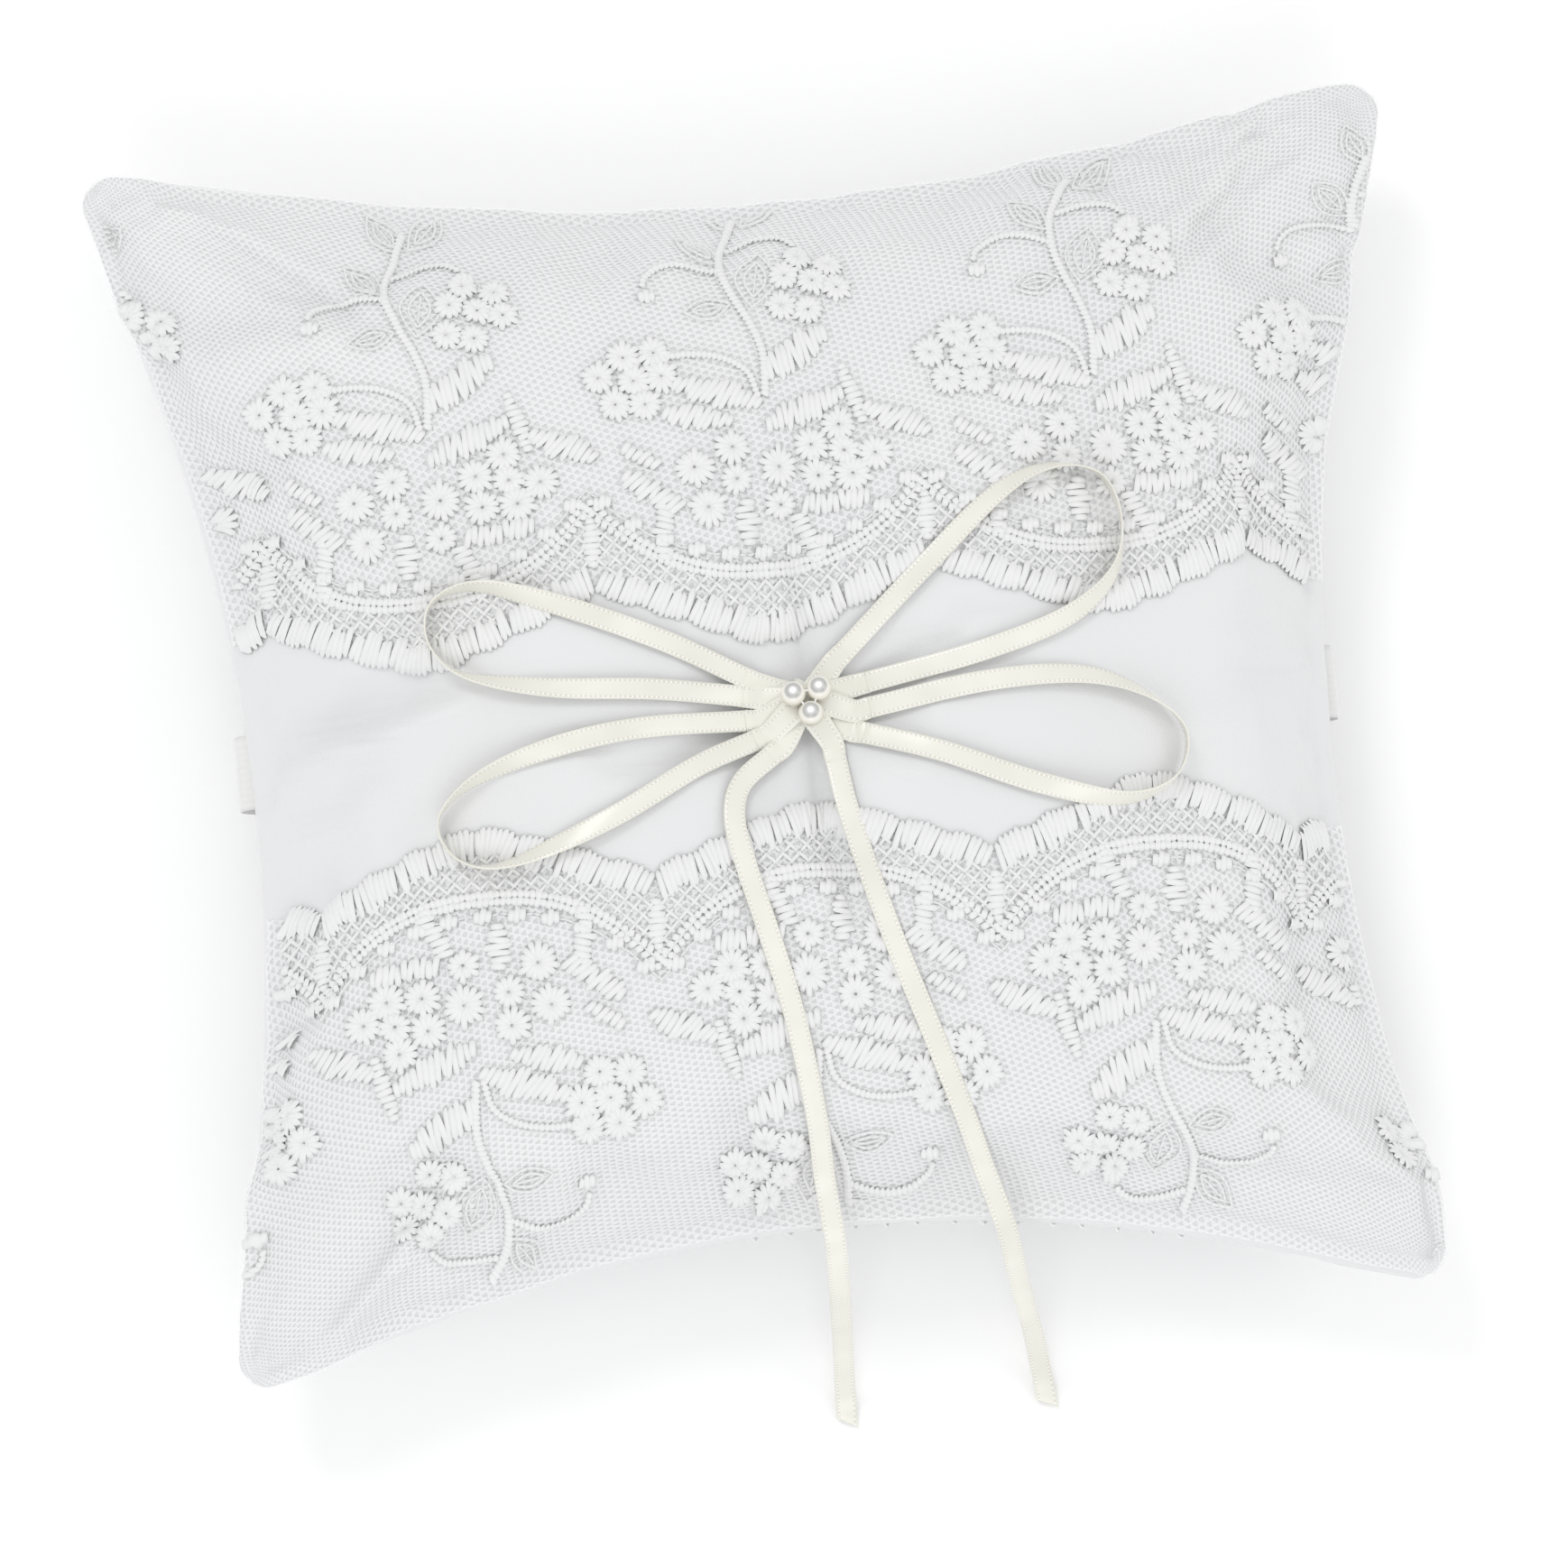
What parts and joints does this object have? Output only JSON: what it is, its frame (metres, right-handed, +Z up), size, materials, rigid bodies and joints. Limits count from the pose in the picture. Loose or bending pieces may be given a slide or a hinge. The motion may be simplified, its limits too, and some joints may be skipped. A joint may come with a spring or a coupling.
{
  "type": "ring bearer pillow",
  "caption": "Stuffed satin ring bearer pillow with two scalloped lace panels, a ribbon bow with pearls, ring-tie tails and a hand strap across the back.",
  "frame": {"origin": "on the table under the middle of the pillow, which lies on its back", "axes": "+Z up through the bow, +X to the right, +Y towards the upper lace panel, away from the ring-tie tails"},
  "size_m": [0.2, 0.2122, 0.0574],
  "materials": {
    "satin": "satin weave, soft sheen",
    "lace": "embroidered net, matt thread",
    "ribbon": "double-face satin",
    "strap": "satin-covered elastic",
    "filling": "loose polyester fibre",
    "pearl": "pearl lacquer",
    "thread": "polyester sewing thread"
  },
  "bodies": {
    "pillow": {"fibre_filling": "filling", "front_satin_panel": "satin", "back_satin_panel": "satin", "upper_lace_panel": "lace", "lower_lace_panel": "lace", "edge_seam_thread": "thread", "closing_stitches": "thread", "strap_end_left": "strap", "strap_end_right": "strap", "bow_knot": "ribbon", "pearl_left": "pearl", "pearl_right": "pearl", "pearl_front": "pearl", "pearl_thread": "thread", "tuft_thread": "thread", "tuft_knot": "thread"},
    "strap": {"hand_strap": "strap"},
    "loop_ul": {"loop_upper_left": "ribbon"},
    "loop_ll": {"loop_lower_left": "ribbon"},
    "loop_ur": {"loop_upper_right": "ribbon"},
    "loop_lr": {"loop_lower_right": "ribbon"},
    "tie_left": {"ring_tie_left": "ribbon"},
    "tie_right": {"ring_tie_right": "ribbon"}
  },
  "joints": [
    {"name": "strap_pull", "type": "slide", "parent": "pillow", "child": "strap", "axis": [0, 0, -1], "range_m": [0, 0.028], "stiffness_N_per_m": 60},
    {"name": "loop_ul_lift", "type": "hinge", "parent": "pillow", "child": "loop_ul", "pos_m": [-0.0084, 0, 0.0522], "axis": [0, 1, 0], "range_deg": [0, 35]},
    {"name": "loop_ll_lift", "type": "hinge", "parent": "pillow", "child": "loop_ll", "pos_m": [-0.0084, 0, 0.0522], "axis": [0, 1, 0], "range_deg": [0, 35]},
    {"name": "loop_ur_lift", "type": "hinge", "parent": "pillow", "child": "loop_ur", "pos_m": [0.0075, 0, 0.0522], "axis": [0, -1, 0], "range_deg": [0, 35]},
    {"name": "loop_lr_lift", "type": "hinge", "parent": "pillow", "child": "loop_lr", "pos_m": [0.0075, 0, 0.0522], "axis": [0, -1, 0], "range_deg": [0, 35]},
    {"name": "tie_left_lift", "type": "hinge", "parent": "pillow", "child": "tie_left", "pos_m": [-0.0055, -0.0073, 0.0522], "axis": [-1, 0, 0], "range_deg": [0, 75]},
    {"name": "tie_right_lift", "type": "hinge", "parent": "pillow", "child": "tie_right", "pos_m": [0.0034, -0.0083, 0.0522], "axis": [-1, 0, 0], "range_deg": [0, 75]}
  ]
}
